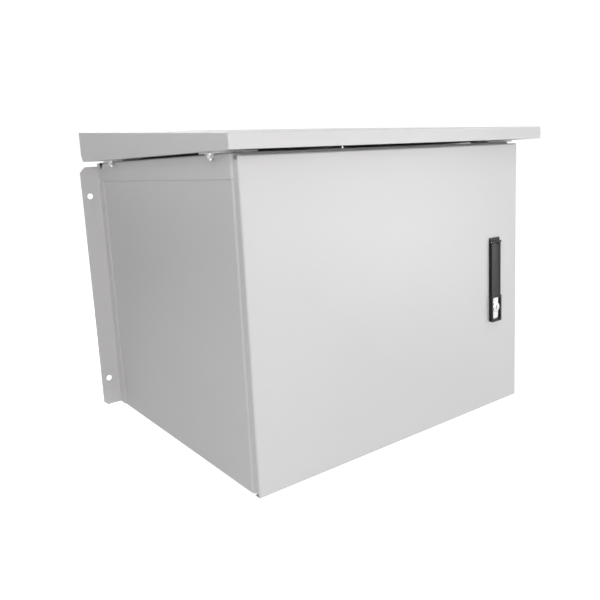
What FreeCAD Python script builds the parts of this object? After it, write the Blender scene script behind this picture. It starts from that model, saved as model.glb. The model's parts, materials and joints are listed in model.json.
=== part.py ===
import FreeCAD, Part
import math
import os

# Wall-hung battery box: a sheet-steel cabinet with a full-size door, a rain hood and 19 inch rails inside.
# Millimetres. The origin is the centre of the four wall holes, on the wall plane.
# +X is to the right seen from the front, -Y points out of the front, +Z is up.

# --- Driving dimensions ---------------------------------------------------------------------------

WIDTH = 600.0               # body and door, outside
TOP = 248.5                 # upper face of the body
BOTTOM = -240.0             # lower face of the body and the door
DOOR_TOP = 245.0
DOOR_FACE = -530.0          # front face of the door; the wall plane is y = 0
DOOR_DEPTH = 13.0           # depth of the door pan
SIDE_FRONT = DOOR_FACE + 16.0
TOP_FRONT = DOOR_FACE + 17.6
SIDE_REAR = -28.0           # rear face of the side panels
SHEET = 1.5                 # body, door and hood sheet
PLATE = 2.0                 # wall brackets, rails, shelf and gland plate
BEND = 1.5                  # inner radius of an ordinary bend
RIM_RADIUS = 6.0            # outer radius of the body's upright front corners
SEAM_Z = 213.0              # lower edge of the top panel's down-turned flange
SEAM = 0.4                  # gap between the top panel's flange and the side panel
RIM_WIDTH = 26.0            # width of the rim round the door opening
LIP_DEPTH = 7.0             # how far the sealing lip stands out of the side panels' rim
RETURN_WIDTH = 14.0         # inward flange at the back of the side panels
SLIP = 0.05                 # radial clearance of pins, screws and spindles

HALF = WIDTH / 2
DOOR_MIDDLE = (DOOR_TOP + BOTTOM) / 2
SIDE_TOP = SEAM_Z - SEAM
LIP_X = HALF - RIM_WIDTH
LIP_Y = SIDE_FRONT - LIP_DEPTH
LIP_BOTTOM = BOTTOM + RIM_WIDTH
INSIDE = HALF - SHEET
DOOR_BACK = DOOR_FACE + DOOR_DEPTH
DOOR_INNER = DOOR_FACE + SHEET

# wall brackets
FLANGE_WIDTH = 35.0
FLANGE_TOP = 241.5
FLANGE_BOTTOM = -240.0
FLANGE_TOP_CUT = 10.0
FLANGE_BOTTOM_CUT = 7.0
LEG_DEPTH = 26.0
WALL_HOLE_X = 320.0
WALL_HOLE_Z = 185.0
WALL_HOLE_R = 5.5
NOTCH_DEPTH = 14.5          # notches in the top panel's flanges, just in front of the wall

# hood
HOOD_OVERHANG = 30.0        # beyond the sides and beyond the door's face
HOOD_FRONT_HEIGHT = 21.0
HOOD_REAR_HEIGHT = 56.5
HOOD_BEND = 3.0
HEM_SIDE = 28.0
HEM_FRONT = 20.0
HEM_REAR = 12.0
HOOD_X = HALF + HOOD_OVERHANG
HOOD_FRONT = DOOR_FACE - HOOD_OVERHANG

# flat brackets between the top panel and the hood, and their bolts
BRACKET_SHEET = 3.0
BRACKETS = {"front": (-505.0, -462.0), "rear": (-130.0, -94.0)}
BRACKET_INNER_X = 250.0
BRACKET_OUTER_X = 322.0
BRACKET_SCREW_X = 266.0
BRACKET_SCREW_SETBACKS = (9.0, 27.0)
HOOD_BOLT_X = 312.0
HOOD_BOLT_SETBACK = 18.0    # from the bracket's rear end forward to its bolt, and likewise for its screws
HOOD_BOTTOM = TOP + BRACKET_SHEET

# hinges
HINGE_X = -294.0
HINGE_Y = DOOR_FACE + 6.0
HINGE_PIN_R = 2.0
HINGE_EYE_R = 3.4
HINGE_SHEET = 2.5
HINGE_GAP = 1.45            # from the door's return to the hinge tongue, filled by the bush's flange
HINGE_LEG_HEIGHT = 22.0
BUSH_R = 3.0
BUSH_FLANGE_R = 3.4
BUSH_FLANGE = 1.4

# lock
LOCK_X = 232.0
LOCK_Z = -0.5
LOCK_WIDTH = 28.0
LOCK_HEIGHT = 156.0
LOCK_BASE = 2.2             # thickness of the base behind the lever
LOCK_FRAME = 6.8            # how far the base stands out below the lever
LOCK_BOX_HALF = 10.5        # half width of the housing behind the door
LOCK_BOX_LOW = -69.0
LOCK_BOX_HIGH = 69.0
LOCK_BOX_REAR = DOOR_FACE + 16.0
SPINDLE_Z = 61.0
SPINDLE_R = 5.0
SPINDLE_SQUARE = 7.0
LEVER_HALF = 13.2
LEVER_REACH = 92.0          # from the spindle to the lever's lower end
LEVER_BACK = DOOR_FACE - 2.5
LEVER_FRONT = DOOR_FACE - LOCK_FRAME
LEVER_CLEAR = 0.4           # between the swinging lever and the base's lower end
LEVER_PIN_Z = 70.0
LEVER_PIN_R = 1.1
KNUCKLE_HALF = 5.0
KNUCKLE_R = 2.1
ARM_FRONT = DOOR_FACE - 5.0
BUTTON_Z = -51.5
BUTTON_R = 9.2
BUTTON_FRONT = DOOR_FACE - 6.4
BUTTON_REAR = DOOR_FACE + 6.0
BUTTON_BORE_END = DOOR_FACE + 13.5
KEY_R = 5.5
KEY_FRONT = DOOR_FACE - 6.7
COVER_FRONT = DOOR_FACE - 4.2
COVER_HALF = 10.5
COVER_TOP = -33.5
COVER_FOOT = -74.0
CAM_SHEET = 3.0
CAM_FRONT = DOOR_FACE + 17.5
CAM_END = LIP_X - 1.2       # stops short of the rim's lip

# rails and shelf: 19 inch system, 9 units
UNIT = 44.45
UNITS = 9
UNIT_HOLES = (6.35, 22.225, 38.1)
RACK_BOTTOM = -212.0
RACK_TOP = RACK_BOTTOM + UNITS * UNIT
RACK_HOLE_X = 232.55
RACK_HOLE_R = 3.3
RACK_EDGE_X = 225.0
RACK_FRONT = -480.0
RACK_REAR = -90.0
RACK_LEG = 30.0
DEPTH_RAIL_FACE = 282.5
DEPTH_RAIL_HALF = 15.0
DEPTH_RAIL_ZS = {"upper": 160.0, "lower": -195.0}
DEPTH_RAIL_FRONT = -500.0
DEPTH_RAIL_REAR = -40.0
SLOT_PITCH = 30.0
SLOT_LENGTH = 18.0
SLOT_WIDTH = 6.6
SHELF_HALF = 219.0
SHELF_EAR_X = 241.3
SHELF_HEIGHT = 43.7
SHELF_LIP = 16.0

# cable entry
GLAND_XS = {"left": -60.0, "right": 60.0}
GLAND_Y = -105.0
GLAND_THREAD_R = 12.4
GLAND_HEX = 30.0
GLAND_CAP_R = 15.0
GLAND_SEAL_R = 9.5
GLAND_BORE_R = 7.0
GLAND_FLOOR = BOTTOM + SHEET + SHEET + 2.0     # underside of the gland plate
ENTRY_HALF = 110.0
ENTRY_FRONT = -150.0
ENTRY_REAR = -60.0
ENTRY_MARGIN = 20.0

# vents under the hood
VENT_HALF = 150.0
VENT_FRONT = -310.0
VENT_REAR = -190.0
VENT_SLOT = 4.0
VENT_ROWS = 10
FILTER_MARGIN = 18.0
FILTER_DEPTH = 10.0

# earth bar
EARTH_HALF = 80.0
EARTH_Z = -150.0
EARTH_BACK = -13.0
EARTH_FRONT = -17.0

TOUCH = 1e-4
FULL_ROUND = 0.999          # a corner radius just under half the width keeps both straight edges


# --- Geometry helpers -----------------------------------------------------------------------------

def vec(x, y, z):
    return FreeCAD.Vector(x, y, z)


def box(x0, x1, y0, y1, z0, z1):
    return Part.makeBox(x1 - x0, y1 - y0, z1 - z0, vec(x0, y0, z0))


def mirrored(shape):
    """The same piece on the other side of the cabinet."""
    return shape.mirror(vec(0, 0, 0), vec(1, 0, 0))


def edges_at(shape, **place):
    """The edges whose ends all lie at the given x, y or z."""
    return [
        edge for edge in shape.Edges
        if all(abs(getattr(v.Point, axis) - value) < TOUCH for v in edge.Vertexes
               for axis, value in place.items())
    ]


def rounded(shape, radius, *places):
    edges = [edge for place in places for edge in edges_at(shape, **place)]
    return shape.makeFillet(radius, edges)


PLANES = {
    "XY": (lambda u, v, w: vec(u, v, w), vec(0, 0, 1)),
    "XZ": (lambda u, v, w: vec(u, w, v), vec(0, 1, 0)),
    "YZ": (lambda u, v, w: vec(w, u, v), vec(1, 0, 0)),
}


def corner_arc(before, corner, after, radius):
    """Start, middle and end of the tangent arc that rounds one corner of a flat outline."""
    u = (before - corner).normalize()
    v = (after - corner).normalize()
    half = u.getAngle(v) / 2
    centre = corner + (u + v).normalize() * (radius / math.sin(half))
    reach = radius / math.tan(half)
    return corner + u * reach, centre + (corner - centre).normalize() * radius, corner + v * reach


def prism(points, radii, plane, start, end):
    """A closed outline with its corners rounded, extruded from start to end across its plane."""
    place, along = PLANES[plane]
    flat = [vec(u, v, 0) for u, v in points]
    count = len(flat)
    arcs = []
    for i, radius in enumerate(radii):
        if radius:
            arcs.append(corner_arc(flat[i - 1], flat[i], flat[(i + 1) % count], radius))
        else:
            arcs.append((flat[i], None, flat[i]))
    edges = []
    for i, (first, middle, last) in enumerate(arcs):
        if middle:
            edges.append(Part.Arc(*(place(p.x, p.y, start) for p in (first, middle, last))).toShape())
        following = arcs[(i + 1) % count][0]
        if (following - last).Length > TOUCH:
            edges.append(Part.LineSegment(place(last.x, last.y, start),
                                          place(following.x, following.y, start)).toShape())
    return Part.Face(Part.Wire(edges)).extrude(along * (end - start))


def bent_sheet(path, thickness, plane, start, end, bend=BEND):
    """A strip of sheet bent along an open path, its thickness on the left of the direction of travel."""
    points = [vec(u, v, 0) for u, v in path]
    ways = [(b - a).normalize() for a, b in zip(points, points[1:])]
    normals = [vec(-way.y, way.x, 0) for way in ways]
    inner = [points[0] + normals[0] * thickness]
    near_radii = [0.0]
    far_radii = [0.0]
    for i in range(1, len(ways)):
        mitre = (normals[i - 1] + normals[i]) * (thickness / (1 + normals[i - 1].dot(normals[i])))
        inner.append(points[i] + mitre)
        turns_left = ways[i - 1].cross(ways[i]).z > 0
        near_radii.append(bend + thickness if turns_left else bend)
        far_radii.append(bend if turns_left else bend + thickness)
    inner.append(points[-1] + normals[-1] * thickness)
    near_radii.append(0.0)
    far_radii.append(0.0)
    outline = [(p.x, p.y) for p in points] + [(p.x, p.y) for p in reversed(inner)]
    return prism(outline, near_radii + far_radii[::-1], plane, start, end)


def rectangle(u0, u1, v0, v1):
    return [(u0, v0), (u1, v0), (u1, v1), (u0, v1)]


def plate(u0, u1, v0, v1, radius, plane, start, end):
    """A flat rectangular plate with rounded corners."""
    return prism(rectangle(u0, u1, v0, v1), [radius] * 4, plane, start, end)


def slot(u, v, length, width, plane, start, end):
    """A cutter for a round-ended slot whose length runs along the plane's first axis."""
    return plate(u - length / 2, u + length / 2, v - width / 2, v + width / 2, FULL_ROUND * width / 2,
                 plane, start, end)


def rod(radius, start, end):
    return Part.makeCylinder(radius, (end - start).Length, start, end - start)


def placed(shape, seat, direction):
    shape.Placement = FreeCAD.Placement(seat, FreeCAD.Rotation(vec(0, 0, 1), direction))
    return shape


def hexagon(across, height):
    """A hexagonal prism on z = 0 with its upper corners turned off."""
    radius = across / math.sqrt(3)
    corners = [(radius * math.cos(math.radians(60 * i)), radius * math.sin(math.radians(60 * i)))
               for i in range(6)]
    body = prism(corners, [0] * 6, "XY", 0, height)
    turned = Part.makeCylinder(radius, height)
    crown = [e for e in turned.Edges if abs(e.CenterOfMass.z - height) < TOUCH]
    turned = turned.makeChamfer(0.12 * radius, crown)
    return body.common(turned)


def hex_bolt(radius, length, across, head, seat, direction, washer=0.0):
    """A hexagon bolt whose head bears on seat, shank along direction, with an optional washer."""
    top = hexagon(across, head)
    top.Placement = FreeCAD.Placement(vec(0, 0, -washer), FreeCAD.Rotation(vec(1, 0, 0), 180))
    bolt = top.fuse(Part.makeCylinder(radius, length + washer, vec(0, 0, -washer)))
    if washer:
        disc = Part.makeCylinder(0.62 * across, washer, vec(0, 0, -washer))
        bolt = bolt.fuse(disc)
    return placed(bolt.removeSplitter(), seat, direction)


def cap_screw(radius, length, head_radius, head, seat, direction):
    """A button-head screw with a hexagon socket whose head bears on seat."""
    top = Part.makeCylinder(head_radius, head, vec(0, 0, -head))
    top = top.makeFillet(0.6 * head, [e for e in top.Edges if abs(e.CenterOfMass.z + head) < TOUCH])
    socket = hexagon(0.9 * head_radius, 0.55 * head)
    socket.translate(vec(0, 0, -head))
    screw = top.cut(socket).fuse(Part.makeCylinder(radius, length))
    return placed(screw.removeSplitter(), seat, direction)


def nut(bore, across, height, seat, direction):
    """A hexagon nut that bears on seat and stands away from it along direction."""
    body = hexagon(across, height).cut(Part.makeCylinder(bore, height))
    return placed(body, seat, direction)


def drilled(shape, radius, centres, direction):
    """Cuts a round hole through the shape at each centre."""
    reach = direction * 20
    return shape.cut([rod(radius, centre - reach, centre + reach) for centre in centres])


# --- Cabinet sheets -------------------------------------------------------------------------------

def side_panel(hinged):
    """Left side: rim and sealing lip, flange at the back, a strip behind the seam under the top."""
    outer = box(-HALF, -LIP_X, SIDE_FRONT, SIDE_REAR, BOTTOM, SIDE_TOP)
    outer = rounded(outer, RIM_RADIUS, {"x": -HALF, "y": SIDE_FRONT})
    outer = rounded(outer, BEND + SHEET, {"x": -HALF, "y": SIDE_REAR}, {"x": -HALF, "z": BOTTOM})
    inner = box(-INSIDE, 0, SIDE_FRONT + SHEET, SIDE_REAR - SHEET, BOTTOM + SHEET, TOP)
    inner = rounded(inner, RIM_RADIUS - SHEET, {"x": -INSIDE, "y": SIDE_FRONT + SHEET})
    inner = rounded(inner, BEND, {"x": -INSIDE, "y": SIDE_REAR - SHEET},
                    {"x": -INSIDE, "z": BOTTOM + SHEET})
    trimmed = box(-HALF + RETURN_WIDTH, 0, SIDE_REAR - 2 * SHEET, 0, BOTTOM - 1, TOP)
    lip = box(-LIP_X - SHEET, -LIP_X, LIP_Y, SIDE_FRONT + SHEET, LIP_BOTTOM, SIDE_TOP)
    strip = box(-INSIDE, -INSIDE + SHEET, SIDE_FRONT + 20, SIDE_REAR - 5, SIDE_TOP - 18, SEAM_Z + 17)
    panel = outer.cut([inner, trimmed]).fuse([lip, strip]).removeSplitter()
    if not hinged:
        return panel
    return drilled(panel, 2 + SLIP, [turned_over_point(seat) for seat in hinge_screw_seats(SIDE_FRONT)],
                   vec(0, 1, 0))


def front_rounded(block, top, corner, edge):
    """Rounds a block's upright front corners, then its upper edge at the sides and the front."""
    front = block.BoundBox.YMin
    side = block.BoundBox.XMax
    block = rounded(block, corner, {"x": -side, "y": front}, {"x": side, "y": front})
    rim = [e for e in block.Edges if abs(e.CenterOfMass.z - top) < TOUCH and e.CenterOfMass.y < -TOUCH
           and not (abs(e.Vertexes[0].Y - e.Vertexes[-1].Y) < TOUCH and e.CenterOfMass.y > front + 1)]
    return block.makeFillet(edge, rim)


def top_panel():
    """Tray turned upside down, with vent slots, a rim and lip in front and a relief at each rear corner."""
    outer = front_rounded(box(-HALF, HALF, TOP_FRONT, 0, SEAM_Z, TOP), TOP, RIM_RADIUS, BEND + SHEET)
    inner = box(-INSIDE, INSIDE, TOP_FRONT + SHEET, -SHEET, SEAM_Z - 1, TOP - SHEET)
    inner = front_rounded(inner, TOP - SHEET, RIM_RADIUS - SHEET, BEND)
    lip = box(-LIP_X - SHEET, LIP_X + SHEET, LIP_Y, TOP_FRONT + SHEET, SEAM_Z, SEAM_Z + SHEET)
    notch = [(-34, TOP + 1), (-26, TOP - 8), (-22.5, TOP - NOTCH_DEPTH), (-20, TOP - NOTCH_DEPTH),
             (-14, TOP - 6), (-13, TOP + 1)]
    reliefs = [prism(notch, [0] * 6, "YZ", x - SHEET - 1, x + SHEET + 1) for x in (-HALF, HALF)]
    pitch = (VENT_REAR - VENT_FRONT) / VENT_ROWS
    slots = [
        slot(side * VENT_HALF / 2, VENT_FRONT + pitch * (i + 0.5), VENT_HALF - 20, VENT_SLOT, "XY",
             TOP - 5, TOP + 5)
        for i in range(VENT_ROWS) for side in (-1, 1)
    ]
    panel = outer.cut(inner).fuse(lip).cut(reliefs + slots).removeSplitter()
    panel = drilled(panel, 3 + SLIP, bracket_screw_seats(TOP), vec(0, 0, 1))
    return drilled(panel, 2 + SLIP, hinge_screw_seats(TOP_FRONT), vec(0, 1, 0))


def bottom_panel():
    """Lies on the side panels' lower flanges, with the rim under the door opening and the cable entry."""
    low = BOTTOM + SHEET
    clear = BEND + 0.5
    front_corner = RIM_RADIUS - SHEET + 1
    floor = box(-INSIDE + clear, INSIDE - clear, SIDE_FRONT + SHEET + front_corner,
                SIDE_REAR - SHEET - clear, low, low + SHEET)
    front = box(-HALF + RIM_RADIUS + 2, HALF - RIM_RADIUS - 2, SIDE_FRONT + SHEET + clear, SIDE_FRONT + 20,
                low, low + SHEET)
    tongue = box(-HALF + RETURN_WIDTH + 1, HALF - RETURN_WIDTH - 1, SIDE_REAR - 10, -SHEET - clear, low,
                 low + SHEET)
    rim = box(-LIP_X + 0.5, LIP_X - 0.5, SIDE_FRONT, SIDE_FRONT + SHEET, low, LIP_BOTTOM)
    lip = box(-LIP_X - SHEET, LIP_X + SHEET, LIP_Y, SIDE_FRONT, LIP_BOTTOM - SHEET, LIP_BOTTOM)
    base = box(-LIP_X + 0.5, LIP_X - 0.5, SIDE_FRONT, SIDE_FRONT + SHEET + clear + 1, low, low + SHEET)
    corner = box(-LIP_X + 0.5, LIP_X - 0.5, SIDE_FRONT, SIDE_FRONT + SHEET, LIP_BOTTOM - SHEET, LIP_BOTTOM)
    panel = floor.fuse([front, tongue, rim, lip, base, corner]).removeSplitter()
    entry = plate(-ENTRY_HALF, ENTRY_HALF, ENTRY_FRONT, ENTRY_REAR, 6, "XY", low - 1, low + 5)
    return drilled(panel.cut(entry), 2.5 + SLIP, entry_screw_seats(low), vec(0, 0, 1))


def rear_panel():
    """Shallow pan between the wall brackets, closed at the wall plane."""
    half = HALF - PLATE - 0.2
    depth = LEG_DEPTH - 3
    outer = box(-half, half, -depth, 0, BOTTOM, SIDE_TOP)
    outer = rounded(outer, BEND + SHEET, {"x": -half, "y": 0}, {"x": half, "y": 0}, {"y": 0, "z": BOTTOM},
                    {"y": 0, "z": SIDE_TOP})
    inner = box(-half + SHEET, half - SHEET, -depth - 1, -SHEET, BOTTOM + SHEET, SIDE_TOP - SHEET)
    inner = rounded(inner, BEND, {"x": -half + SHEET, "y": -SHEET}, {"x": half - SHEET, "y": -SHEET},
                    {"y": -SHEET, "z": BOTTOM + SHEET}, {"y": -SHEET, "z": SIDE_TOP - SHEET})
    return outer.cut(inner)


def wall_bracket():
    """Left bracket: wall flange, leg flush with the side panel, a return behind the panel's flange."""
    path = [(-HALF - FLANGE_WIDTH, -PLATE), (-HALF, -PLATE), (-HALF, -LEG_DEPTH),
            (-HALF + RETURN_WIDTH, -LEG_DEPTH)]
    section = bent_sheet(path, PLATE, "XY", FLANGE_BOTTOM, SIDE_TOP)
    upper = box(-HALF - FLANGE_WIDTH, -HALF, -PLATE, 0, SIDE_TOP, FLANGE_TOP)
    bracket = section.fuse(upper).removeSplitter()
    edge = -HALF - FLANGE_WIDTH
    cuts = [
        prism([(edge - 1, z + 1 * side), (edge + size, z + 1 * side), (edge + size, z),
               (edge, z - size * side),
               (edge - 1, z - size * side)], [0] * 5, "XZ", -2 * PLATE, 1)
        for z, size, side in ((FLANGE_TOP, FLANGE_TOP_CUT, 1), (FLANGE_BOTTOM, FLANGE_BOTTOM_CUT, -1))
    ]
    holes = [vec(-WALL_HOLE_X, -PLATE / 2, z) for z in (-WALL_HOLE_Z, WALL_HOLE_Z)]
    return drilled(bracket.cut(cuts), WALL_HOLE_R, holes, vec(0, 1, 0))


# --- Hood -----------------------------------------------------------------------------------------

def hood_section(inset, bottom):
    """Side view of the hood, drawn inset from its outside."""
    front = HOOD_FRONT + inset
    rear = -inset
    slope = (HOOD_REAR_HEIGHT - HOOD_FRONT_HEIGHT) / (0 - HOOD_FRONT)
    drop = inset * math.hypot(1, slope)
    front_top = HOOD_BOTTOM + HOOD_FRONT_HEIGHT + slope * inset - drop
    rear_top = HOOD_BOTTOM + HOOD_REAR_HEIGHT - slope * inset - drop
    return [(front, bottom), (front, front_top), (rear, rear_top), (rear, bottom)], front_top, rear_top


def roof_hood():
    """Sloping sheet with skirts all round and an inward hem along their lower edges."""
    points, front_top, rear_top = hood_section(0, HOOD_BOTTOM)
    outer = prism(points, [0] * 4, "YZ", -HOOD_X, HOOD_X)
    outer = rounded(outer, HOOD_BEND, {"y": HOOD_FRONT, "z": front_top}, {"y": 0, "z": rear_top},
                    {"x": -HOOD_X, "y": HOOD_FRONT}, {"x": HOOD_X, "y": HOOD_FRONT}, {"x": -HOOD_X, "y": 0},
                    {"x": HOOD_X, "y": 0})
    top_edges = [e for e in outer.Edges if abs(abs(e.CenterOfMass.x) - HOOD_X) < TOUCH and e.Length > 400
                 and e.CenterOfMass.z > HOOD_BOTTOM + HOOD_FRONT_HEIGHT]
    outer = outer.makeFillet(HOOD_BEND - 1, top_edges)
    points, front_top, rear_top = hood_section(SHEET, HOOD_BOTTOM + SHEET)
    inner = prism(points, [0] * 4, "YZ", -HOOD_X + SHEET, HOOD_X - SHEET)
    inner = rounded(inner, HOOD_BEND - SHEET, {"y": HOOD_FRONT + SHEET, "z": front_top},
                    {"y": -SHEET, "z": rear_top},
                    {"x": -HOOD_X + SHEET, "y": HOOD_FRONT + SHEET}, {"x": HOOD_X - SHEET,
                                                                      "y": HOOD_FRONT + SHEET})
    mouth = plate(-HOOD_X + HEM_SIDE, HOOD_X - HEM_SIDE, HOOD_FRONT + HEM_FRONT, -HEM_REAR, 4, "XY",
                  HOOD_BOTTOM - 1, HOOD_BOTTOM + 2 * SHEET)
    hood = outer.cut([inner, mouth])
    rear_cuts = [
        prism([(-11, HOOD_BOTTOM - 1), (1, HOOD_BOTTOM - 1), (1, HOOD_BOTTOM + 16), (0, HOOD_BOTTOM + 16),
               (-11, HOOD_BOTTOM)], [0] * 5, "YZ", x - 3, x + 3)
        for x in (-HOOD_X, HOOD_X)
    ]
    hood = hood.cut(rear_cuts)
    return drilled(hood, 3 + SLIP, hood_bolt_seats(HOOD_BOTTOM), vec(0, 0, 1))


def hood_bolt_seats(z):
    return [vec(side * HOOD_BOLT_X, rear - HOOD_BOLT_SETBACK, z) for _, rear in BRACKETS.values()
            for side in (-1, 1)]


def bracket_screw_seats(z):
    return [
        vec(side * BRACKET_SCREW_X, rear - setback, z)
        for _, rear in BRACKETS.values() for side in (-1, 1) for setback in BRACKET_SCREW_SETBACKS
    ]


def roof_bracket(front, rear):
    """Left bracket: a flat bar on the top panel that reaches out under the hood's hem."""
    bracket = plate(-BRACKET_OUTER_X, -BRACKET_INNER_X, front, rear, 4, "XY", TOP, HOOD_BOTTOM)
    bracket = drilled(bracket, 3 + SLIP, hood_bolt_seats(HOOD_BOTTOM), vec(0, 0, 1))
    return drilled(bracket, 3 + SLIP, bracket_screw_seats(HOOD_BOTTOM), vec(0, 0, 1))


def roof_bolts():
    """Bolts that stand in the hood's hem and point down through the brackets."""
    seats = hood_bolt_seats(HOOD_BOTTOM + SHEET)
    return Part.makeCompound([hex_bolt(3, 13.5, 10, 4, seat, vec(0, 0, -1)) for seat in seats])


def roof_nuts():
    """Flanged nuts under the brackets."""
    nuts = []
    for seat in hood_bolt_seats(TOP):
        flange = Part.makeCylinder(7, 1.4).cut(Part.makeCylinder(3 + SLIP, 1.4))
        flange = placed(flange, seat, vec(0, 0, -1))
        nuts.append(nut(3 + SLIP, 10, 6.6, seat, vec(0, 0, -1)).fuse(flange).removeSplitter())
    return Part.makeCompound(nuts)


def bracket_screws():
    """Screws through the brackets and the top panel, each with its nut."""
    pieces = [cap_screw(3, 10, 5.2, 3.2, seat, vec(0, 0, -1)) for seat in bracket_screw_seats(HOOD_BOTTOM)]
    pieces += [nut(3 + SLIP, 10, 5, seat, vec(0, 0, -1)) for seat in bracket_screw_seats(TOP - SHEET)]
    return Part.makeCompound(pieces)


# --- Vents ----------------------------------------------------------------------------------------

def vent_filter():
    low = TOP - SHEET - FILTER_DEPTH
    return plate(-VENT_HALF - FILTER_MARGIN, VENT_HALF + FILTER_MARGIN, VENT_FRONT - FILTER_MARGIN,
                 VENT_REAR + FILTER_MARGIN, 2, "XY", low, TOP - SHEET)


def vent_frame():
    """Flanged tray that holds the filter up against the vent slots."""
    high = TOP - SHEET
    low = high - FILTER_DEPTH
    wall = FILTER_MARGIN + 0.5
    outside = wall + SHEET
    foot = outside + 12
    walls = plate(-VENT_HALF - outside, VENT_HALF + outside, VENT_FRONT - outside, VENT_REAR + outside, 3,
                  "XY", low - SHEET, high)
    feet = plate(-VENT_HALF - foot, VENT_HALF + foot, VENT_FRONT - foot, VENT_REAR + foot, 3, "XY",
                 high - SHEET, high)
    hollow = plate(-VENT_HALF - wall, VENT_HALF + wall, VENT_FRONT - wall, VENT_REAR + wall, 2, "XY", low,
                   high + 1)
    window = plate(-VENT_HALF, VENT_HALF, VENT_FRONT, VENT_REAR, 4, "XY", low - 2 * SHEET, low + 1)
    return walls.fuse(feet).cut([hollow, window]).removeSplitter()


# --- Hinges ---------------------------------------------------------------------------------------

def hinge_bracket(rim_front):
    """Upper bracket: a leg on the rim and a tongue that reaches into the door's corner to the pin."""
    leg_x0, leg_x1 = HINGE_X + 5.5, HINGE_X + 17
    top = DOOR_TOP - SHEET - HINGE_GAP
    leg = box(leg_x0, leg_x1, rim_front - PLATE, rim_front, top - HINGE_LEG_HEIGHT, top)
    outline = [(HINGE_X - 2.2, HINGE_Y + 2.6), (HINGE_X + 8, rim_front), (leg_x1, rim_front),
               (leg_x1, HINGE_Y + 6),
               (HINGE_X + 2.2, HINGE_Y - 2.6)]
    tongue = prism(outline, [0] * 5, "XY", top - HINGE_SHEET, top)
    eye = rod(HINGE_EYE_R, vec(HINGE_X, HINGE_Y, top - HINGE_SHEET), vec(HINGE_X, HINGE_Y, top))
    bracket = leg.fuse([tongue, eye]).removeSplitter()
    bracket = drilled(bracket, HINGE_PIN_R + SLIP, [vec(HINGE_X, HINGE_Y, top)], vec(0, 0, 1))
    return drilled(bracket, 2 + SLIP, hinge_screw_seats(rim_front), vec(0, 1, 0))


def hinge_screw_seats(front):
    top = DOOR_TOP - SHEET - HINGE_GAP
    return [vec(HINGE_X + 10.5, front, top - z) for z in (9.0, 17.0)]


def turned_over(shape):
    """The same piece at the other end of the door."""
    return shape.mirror(vec(0, 0, DOOR_MIDDLE), vec(0, 0, 1))


def turned_over_point(point):
    return vec(point.x, point.y, 2 * DOOR_MIDDLE - point.z)


def hinge_pins():
    """Headed pins riveted into the brackets' tongues."""
    top = DOOR_TOP - SHEET - HINGE_GAP
    pin = rod(HINGE_PIN_R, vec(HINGE_X, HINGE_Y, top - HINGE_SHEET - 1),
              vec(HINGE_X, HINGE_Y, DOOR_TOP + 1))
    pin = pin.makeChamfer(0.6, [e for e in pin.Edges if abs(e.CenterOfMass.z - DOOR_TOP - 1) < TOUCH])
    head = rod(HINGE_PIN_R + 1.2, vec(HINGE_X, HINGE_Y, top - HINGE_SHEET - 1.2),
               vec(HINGE_X, HINGE_Y, top - HINGE_SHEET))
    pin = pin.fuse(head).removeSplitter()
    return Part.makeCompound([pin, turned_over(pin)])


def hinge_screws():
    upper = [cap_screw(2, 5, 3.4, 2, seat, vec(0, 1, 0)) for seat in hinge_screw_seats(TOP_FRONT - PLATE)]
    lower = [turned_over(cap_screw(2, 5, 3.4, 2, seat, vec(0, 1, 0)))
             for seat in hinge_screw_seats(SIDE_FRONT - PLATE)]
    return Part.makeCompound(upper + lower)


def hinge_bushes():
    """Flanged plastic bushes in the door's returns."""
    barrel = rod(BUSH_R, vec(HINGE_X, HINGE_Y, DOOR_TOP - SHEET), vec(HINGE_X, HINGE_Y, DOOR_TOP))
    low = DOOR_TOP - SHEET - BUSH_FLANGE
    flange = rod(BUSH_FLANGE_R, vec(HINGE_X, HINGE_Y, low), vec(HINGE_X, HINGE_Y, DOOR_TOP - SHEET))
    rims = [e for e in flange.Edges if abs(e.CenterOfMass.z - DOOR_TOP + SHEET) < TOUCH]
    flange = flange.makeChamfer(0.3, rims)
    bore = rod(HINGE_PIN_R + SLIP, vec(HINGE_X, HINGE_Y, low - 1), vec(HINGE_X, HINGE_Y, DOOR_TOP + 1))
    bush = barrel.fuse(flange).removeSplitter().cut(bore)
    return Part.makeCompound([bush, turned_over(bush)])


# --- Door -----------------------------------------------------------------------------------------

def pan(x0, x1, y0, y1, z0, z1, radius):
    """A block with its front edges and its four corners rounded alike."""
    block = box(x0, x1, y0, y1, z0, z1)
    places = [{"x": x0, "y": y0}, {"x": x1, "y": y0}, {"z": z0, "y": y0}, {"z": z1, "y": y0},
              {"x": x0, "z": z0}, {"x": x0, "z": z1}, {"x": x1, "z": z0}, {"x": x1, "z": z1}]
    return rounded(block, radius, *places)


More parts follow.
